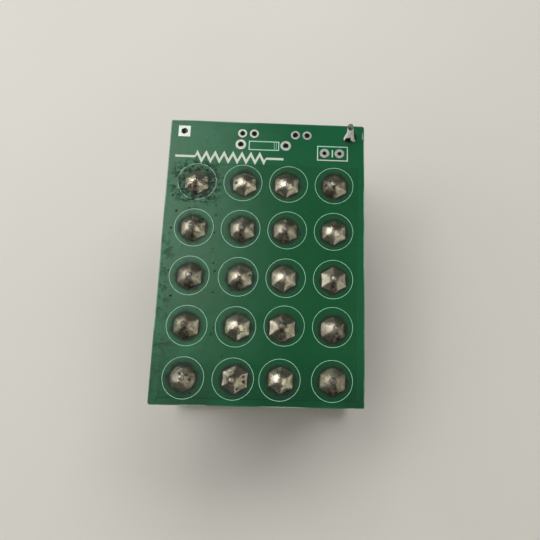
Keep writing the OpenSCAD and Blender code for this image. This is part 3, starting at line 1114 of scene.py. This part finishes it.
bpy.ops.mesh.normals_make_consistent(inside=False)
bpy.ops.object.mode_set(mode="OBJECT")
refine(link_cone, 2)
roughen(link_cone, *cone_lumps)
# Painted shadow in the arch of the skirt, kept in the soot attribute
arch_shadow_mark = link_cone.data.attributes.new("soot", "FLOAT", "POINT")
for vertex in link_cone.data.vertices:
    in_arch = at_angle(vertex.co, arch_turn, arch_spread) and vertex.co.z < arch_h * mm
    arch_shadow_mark.data[vertex.index].value = 1.0 if in_arch else 0.0
link_cone.data.transform(Matrix.Translation(Vector((*link_spot, upper_high.z / mm)) * mm))
link_cone = joined([link_cone], "link_cone", cone_finish)
smooth(link_cone, 50)
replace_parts(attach(link_cone, "root"), "link_upper_joint")

# A pale matt table top lies under the part. Well outside the camera's view it turns dark, like the
# room round the table.
floor_size = 3.0
sheet_half = 120.0
sheet_fade = 60.0
table_pale = (0.82, 0.805, 0.765, 1)
table_bright = (0.84, 0.825, 0.785, 1)
table_dark = (0.2, 0.185, 0.16, 1)
deselect_all()
bpy.ops.mesh.primitive_plane_add(size=floor_size, location=(0, 0, cad_lowest.z))
floor = bpy.context.object
floor.name = "table_top"
floor_finish, floor_shader, floor_place = new_finish("pale_table", IOR=1.4)
floor_x, floor_y, _ = floor_place.split()
floor_grain = floor_place.noise(0.02, 3.0)
past_sheet = abs(floor_x).most(abs(floor_y)).rise(sheet_half, sheet_half + sheet_fade)
floor_colour = floor_grain.rise(0.3, 0.7).over(table_pale, table_bright)
floor_colour = past_sheet.over(floor_colour, table_dark)
feed(floor_shader, Base_Color=floor_colour, Roughness=0.6 + 0.1 * floor_grain)
floor.data.materials.append(floor_finish)

# Soft light comes from windows on the left, the far side and the near left, from ceiling light over
# the far left, and from pale walls on both sides. A card over the right shows in shiny faces only.
middle = Vector((0, 0, upper_high.z)) / mm
daylight = (1.0, 0.985, 0.95)
ceiling_light = (1.0, 0.98, 0.94)
wall_light = (1.0, 0.97, 0.9)
warm_light = (1.0, 0.95, 0.83)


def soft_panel(name, spot, aim, size, level, tint):
    """A soft rectangular light: its place and what it faces in millimetres, and its level as a surface."""
    lamp_data = bpy.data.lights.new(name, "AREA")
    lamp_data.shape = "RECTANGLE"
    lamp_data.size = size[0] * mm
    lamp_data.size_y = size[1] * mm
    lamp_data.energy = level * math.pi * lamp_data.size * lamp_data.size_y
    lamp_data.color = tint
    lamp = bpy.data.objects.new(name, lamp_data)
    bpy.context.scene.collection.objects.link(lamp)
    lamp.location = Vector(spot) * mm
    lamp.rotation_euler = (Vector(aim) - Vector(spot)).to_track_quat("-Z", "Y").to_euler()
    lamp.visible_camera = False
    return lamp


def around(turn, climb, reach):
    """A place round the part, by its direction in degrees and its distance in millimetres."""
    a, e = math.radians(turn), math.radians(climb)
    way = Vector((math.cos(a) * math.cos(e), math.sin(a) * math.cos(e), math.sin(e)))
    return middle + way * reach


soft_panel("window", around(152, 42, 500), middle, (560, 380), 1.12, daylight)
far_window = soft_panel("far_window", around(74, 44, 500), middle, (520, 260), 3.1, daylight)
far_window.visible_glossy = False
soft_panel("ceiling_panel", (-206, 154, 420), (-206, 154, 0), (300, 212), 2.05, ceiling_light)
soft_panel("ceiling_end", (-216, -8, 420), (-216, -8, 0), (300, 112), 0.6, ceiling_light)
soft_panel("left_wall", around(178, 12, 500), middle, (600, 200), 0.55, wall_light)
right_card = soft_panel("right_card", (265, -60, 420), (265, -60, 0), (310, 420), 0.88, warm_light)
right_card.visible_diffuse = False
soft_panel("right_wall", around(-24, 18, 500), middle, (1150, 290), 0.54, warm_light)
near_window = soft_panel("near_window", around(220, 6, 420), middle, (480, 80), 5.6, daylight)
near_window.visible_glossy = False

scene = bpy.context.scene
world = bpy.data.worlds.new("dim_room")
world.use_nodes = True
world.node_tree.nodes["Background"].inputs["Color"].default_value = (1.0, 0.97, 0.92, 1)
world.node_tree.nodes["Background"].inputs["Strength"].default_value = 0.06
scene.world = world
scene.view_settings.view_transform = "Standard"

# The camera is held by hand over the near half of the board and looks down on it, tilted a little
# towards the header.
camera_place = (4.466, -22.035, 106.041)
camera_turn = (13.214, -1.889, 1.295)
camera_data = bpy.data.cameras.new("camera")
camera_data.sensor_width = 36
camera_data.lens = 36
camera_data.clip_start = 0.005
camera_data.shift_x = -0.064
camera = bpy.data.objects.new("camera", camera_data)
scene.collection.objects.link(camera)
camera.location = Vector(camera_place) * mm
camera.rotation_euler = [math.radians(turn) for turn in camera_turn]
scene.camera = camera
